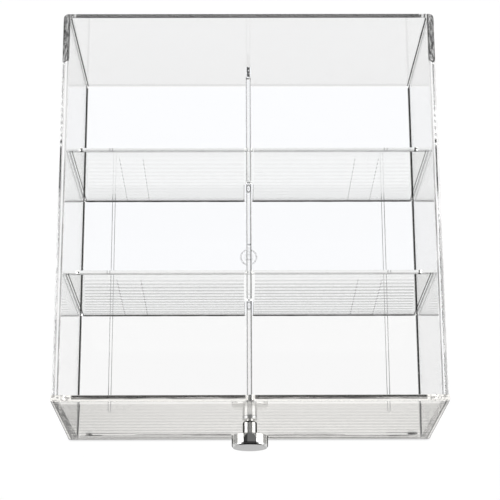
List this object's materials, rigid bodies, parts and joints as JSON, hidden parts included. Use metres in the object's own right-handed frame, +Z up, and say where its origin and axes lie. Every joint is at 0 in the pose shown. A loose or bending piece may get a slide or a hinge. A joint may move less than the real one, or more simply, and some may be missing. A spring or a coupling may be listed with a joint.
{
  "type": "coffee pod drawer",
  "caption": "Clear drawer for coffee pods: a moulded tray with a bonded front panel, crossing dividers that make compartments, runner ribs below and a chromed knob.",
  "frame": {"origin": "bottom centre of the drawer's own box, knob included, on the surface it stands on", "axes": "+Z up, +Y from the knob towards the back, +X to the right of someone facing the front panel"},
  "size_m": [0.2, 0.227, 0.096],
  "materials": {
    "clear_tray": "clear, polished mould finish",
    "clear_panel": "clear, polished mould finish",
    "clear_divider": "clear, polished mould finish",
    "chrome_knob": "bright chrome plate, satin front face",
    "plated_screw": "zinc plated"
  },
  "bodies": {
    "root": {"drawer_tray": "clear_tray", "front_panel": "clear_panel", "centre_divider": "clear_divider", "front_cross_divider": "clear_divider", "rear_cross_divider": "clear_divider", "knob": "chrome_knob", "knob_screw": "plated_screw"}
  },
  "joints": []
}
